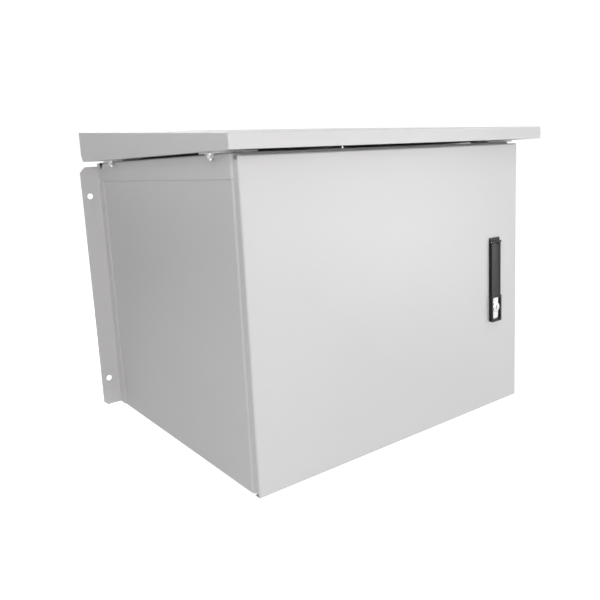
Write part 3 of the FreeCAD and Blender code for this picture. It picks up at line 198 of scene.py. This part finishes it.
def foam(name, color):
    """Closed-cell foam: a fine skin with small pits, its colour darker in the pits as painted shade."""
    g = Graph(name, color, 0.85)
    pore_pits_and_shade = g.remap(g.cells(0.0012), 0.0, 1.0, 0.1, 0.45)
    # painted shade: the colour darkens in the pits, where the bump is lowest
    g.set("Base Color", g.mixed(pore_pits_and_shade, shade(color, 0.4), shade(color, 1.5)))
    g.bump(pore_pits_and_shade, 0.25 * MM, 0.6)
    g.bump(g.noise(0.004, 3.0), 0.3 * MM, 0.5)
    return g.material


def felt(name, color):
    """Non-woven filter mat: crossed fibres, with painted shade between the fibres of one direction."""
    g = Graph(name, color, 0.95)
    one_way = g.noise(0.0016, 5.0, 0.7, g.stretched((0.12, 1.0, 1.0)), 1.2)
    other_way = g.noise(0.0016, 5.0, 0.7, g.stretched((1.0, 0.12, 1.0)), 1.2)
    # painted shade: darker where the one-way fibre bump is low, between the fibres
    g.set("Base Color", g.mixed(g.remap(one_way, 0.0, 1.0), shade(color, 0.78), color))
    g.set("Sheen Weight", 0.3)
    g.bump(one_way, 0.6 * MM, 0.7)
    g.bump(other_way, 0.6 * MM, 0.7)
    return g.material


def rubber(name, color):
    g = Graph(name, color, 0.62)
    g.set("Roughness", g.remap(g.noise(0.004, 3.0), 0.52, 0.72))
    g.set("Base Color", g.mixed(g.noise(0.008, 3.0), shade(color, 0.7), shade(color, 1.4)))
    g.bump(g.noise(0.0009, 3.0), 0.03 * MM, 0.4)
    return g.material


def brass(name, color):
    g = Graph(name, color, 0.28, metallic=1.0)
    g.set("Base Color", g.mixed(g.noise(0.012, 4.0), shade(color, 0.82), shade(color, 1.05)))
    g.set("Roughness", g.remap(g.noise(0.005, 4.0), 0.2, 0.38))
    g.bump(g.noise(0.0005, 2.0, 0.5, g.stretched((0.05, 1.0, 1.0))), 0.01 * MM, 0.5)
    return g.material


def chrome(name, color):
    g = Graph(name, color, 0.12, metallic=1.0)
    g.set("Roughness", g.remap(g.noise(0.004, 4.0), 0.07, 0.18, 0.35, 0.7))
    g.set("Base Color", g.mixed(g.noise(0.01, 3.0), shade(color, 0.93), shade(color, 1.05)))
    g.bump(g.noise(0.003, 2.0), 0.01 * MM, 0.3)
    return g.material


PAINT = (0.608, 0.598, 0.602)
BLACK = (0.011, 0.011, 0.012)

MATERIALS = {
    "cabinet_paint": powder_coat("cabinet_paint", PAINT, 0.36, 1.1 * MM),
    "zinc_plate": zinc_plate("zinc_plate", (0.66, 0.67, 0.68)),
    "filter_felt": felt("filter_felt", (0.80, 0.80, 0.77)),
    "gasket_foam": foam("gasket_foam", (0.030, 0.030, 0.032)),
    "gland_nylon": moulded("gland_nylon", (0.030, 0.030, 0.033), 0.5, 0.5 * MM, 0.03 * MM),
    "seal_rubber": rubber("seal_rubber", (0.022, 0.022, 0.022)),
    "earth_brass": brass("earth_brass", (0.72, 0.50, 0.20)),
    "bush_nylon": moulded("bush_nylon", (0.76, 0.76, 0.70), 0.4, 0.6 * MM, 0.02 * MM),
    "lock_black": powder_coat("lock_black", BLACK, 0.38, 0.5 * MM, specular=0.3),
    "lock_steel": powder_coat("lock_steel", BLACK, 0.42, 0.5 * MM, specular=0.3),
    "lock_chrome": chrome("lock_chrome", (0.78, 0.79, 0.80)),
}


def dress_cad_nodes():
    """Gives every CAD node its slot's material."""
    for row in frame["record"]["subparts"]:
        piece = frame["nodes"][row["node"]]
        piece.data.materials.clear()
        piece.data.materials.append(MATERIALS[row["material_slot"]])


dress_cad_nodes()


# --- Button spring --------------------------------------------------------------------------------

def spring_that_compresses():
    """Takes over from the CAD spring with a copy of its mesh, carried by the door; the CAD spring is
    hidden.
    """
    rigid = frame["nodes"]["button_spring"]
    spring = bpy.data.objects.new("button_spring_coils", rigid.data.copy())
    bpy.context.scene.collection.objects.link(spring)
    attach(spring, "door")
    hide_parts("button_spring")
    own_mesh(spring)


spring_that_compresses()


# --- Light, floor and camera ----------------------------------------------------------------------

FLOOR_DROP = 0.35            # the box hangs on a wall, clear of the floor
FLOOR_REACH = 30.0
FLOOR_GLOW_NEAR = 0.35       # the floor glows a little, more with distance, and ends in the white backdrop
FLOOR_GLOW_FAR = 1.05
FLOOR_GLOW_START = 0.5       # distance from the middle where the glow starts to grow
FLOOR_GLOW_END = 2.2
FLOOR_DARK = (0.92, 0.92, 0.92)
FLOOR_LIGHT = (0.94, 0.94, 0.94)


def studio_floor():
    """A pale floor, clear from below so that the underside can be seen."""
    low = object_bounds()[0].z - FLOOR_DROP
    mesh = bpy.data.meshes.new("floor")
    corners = [(-FLOOR_REACH, -FLOOR_REACH, low), (FLOOR_REACH, -FLOOR_REACH, low),
               (FLOOR_REACH, FLOOR_REACH, low), (-FLOOR_REACH, FLOOR_REACH, low)]
    mesh.from_pydata(corners, [], [(0, 1, 2, 3)])
    floor = bpy.data.objects.new("floor", mesh)
    bpy.context.scene.collection.objects.link(floor)
    g = Graph("floor", FLOOR_LIGHT, 0.9)
    g.set("Base Color", g.mixed(g.noise(0.5, 3.0), FLOOR_DARK, FLOOR_LIGHT))
    distance = g.add("ShaderNodeVectorMath", operation="LENGTH")
    g.link(g.place, distance.inputs[0])
    g.set("Emission Color", WHITE)
    glow = g.add("ShaderNodeMath", operation="MULTIPLY")
    growing = g.remap(distance.outputs["Value"], FLOOR_GLOW_NEAR, FLOOR_GLOW_FAR,
                      FLOOR_GLOW_START, FLOOR_GLOW_END)
    g.link(growing, glow.inputs[0])
    g.link(g.add("ShaderNodeLightPath").outputs["Is Camera Ray"], glow.inputs[1])
    g.set("Emission Strength", glow.outputs["Value"])
    one_sided = g.add("ShaderNodeMixShader")
    g.link(g.add("ShaderNodeNewGeometry").outputs["Backfacing"], one_sided.inputs["Fac"])
    g.link(g.shader.outputs["BSDF"], one_sided.inputs[1])
    g.link(g.add("ShaderNodeBsdfTransparent").outputs["BSDF"], one_sided.inputs[2])
    g.link(one_sided.outputs["Shader"], g.tree.nodes["Material Output"].inputs["Surface"])
    mesh.materials.append(g.material)


def studio_world(ambient, backdrop):
    """White backdrop, seen directly and in reflections, with a dimmer ambient light from the same sky."""
    world = bpy.data.worlds.new("studio")
    bpy.context.scene.world = world
    world.use_nodes = True
    tree = world.node_tree
    light = tree.nodes["Background"]
    light.inputs["Color"].default_value = WHITE
    light.inputs["Strength"].default_value = ambient
    seen = tree.nodes.new("ShaderNodeBackground")
    seen.inputs["Color"].default_value = WHITE
    seen.inputs["Strength"].default_value = backdrop
    path = tree.nodes.new("ShaderNodeLightPath")
    mirrored = tree.nodes.new("ShaderNodeMath")
    mirrored.operation = "MAXIMUM"
    tree.links.new(path.outputs["Is Camera Ray"], mirrored.inputs[0])
    tree.links.new(path.outputs["Is Glossy Ray"], mirrored.inputs[1])
    mix = tree.nodes.new("ShaderNodeMixShader")
    tree.links.new(mirrored.outputs["Value"], mix.inputs["Fac"])
    tree.links.new(light.outputs["Background"], mix.inputs[1])
    tree.links.new(seen.outputs["Background"], mix.inputs[2])
    tree.links.new(mix.outputs["Shader"], tree.nodes["World Output"].inputs["Surface"])


def area_light(name, place, aim, width, height, power):
    light = bpy.data.lights.new(name, "AREA")
    light.shape = "RECTANGLE"
    light.size = width
    light.size_y = height
    light.energy = power
    lamp = bpy.data.objects.new(name, light)
    bpy.context.scene.collection.objects.link(lamp)
    lamp.location = place
    lamp.rotation_mode = "QUATERNION"
    lamp.rotation_quaternion = (Vector(aim) - Vector(place)).to_track_quat("-Z", "Y")
    return lamp


CAMERA_PLACE = Vector((-0.7429, -1.2622, 0.2337))
CAMERA_AZIMUTH = math.radians(36.106)
CAMERA_ELEVATION = math.radians(9.658)
CAMERA_ROLL = math.radians(-2.916)
CAMERA_LENS = 38.680         # millimetres, on a sensor 36 mm wide
CAMERA_SHIFT = (0.0002, -0.0497)


def add_camera():
    ahead = Vector((math.sin(CAMERA_AZIMUTH) * math.cos(CAMERA_ELEVATION),
                    math.cos(CAMERA_AZIMUTH) * math.cos(CAMERA_ELEVATION), -math.sin(CAMERA_ELEVATION)))
    level_right = ahead.cross(Vector((0, 0, 1))).normalized()
    level_up = level_right.cross(ahead)
    right = level_right * math.cos(CAMERA_ROLL) + level_up * math.sin(CAMERA_ROLL)
    up = right.cross(ahead)
    data = bpy.data.cameras.new("camera")
    data.sensor_width = 36.0
    data.lens = CAMERA_LENS
    data.shift_x, data.shift_y = CAMERA_SHIFT
    data.clip_start = 0.01
    data.clip_end = 100.0
    camera = bpy.data.objects.new("camera", data)
    bpy.context.scene.collection.objects.link(camera)
    camera.matrix_world = Matrix((
        (right.x, up.x, -ahead.x, CAMERA_PLACE.x),
        (right.y, up.y, -ahead.y, CAMERA_PLACE.y),
        (right.z, up.z, -ahead.z, CAMERA_PLACE.z),
        (0, 0, 0, 1),
    ))
    bpy.context.scene.camera = camera


LAMP_AIM = Vector((0.0, -0.5, 0.0))
# name: azimuth from the front toward the right, elevation, distance, size in metres, watts
LAMPS = {
    "left_light": (-46.0, 17.0, 1.9, 1.0, 16.0),
    "front_light": (10.0, 10.0, 3.2, 1.6, 8.0),
    "low_right_light": (42.0, -3.0, 3.2, 1.2, 25.0),
    "right_light": (60.0, 40.0, 3.2, 1.6, 26.0),
    "rear_light": (180.0, 30.0, 3.2, 2.0, 34.0),
    "top_light": (0.0, 85.0, 3.2, 2.0, 20.0),
}


def studio_lamps():
    for name, (azimuth, elevation, distance, size, watts) in LAMPS.items():
        az, el = math.radians(azimuth), math.radians(elevation)
        away = Vector((math.sin(az) * math.cos(el), -math.cos(az) * math.cos(el), math.sin(el)))
        area_light(name, LAMP_AIM + away * distance, LAMP_AIM, size, size, watts)


AMBIENT = 0.22
BACKDROP = 1.05              # just past white

studio_floor()
studio_world(AMBIENT, BACKDROP)
studio_lamps()
add_camera()

scene = bpy.context.scene
scene.view_settings.view_transform = "Standard"
scene.view_settings.look = "None"
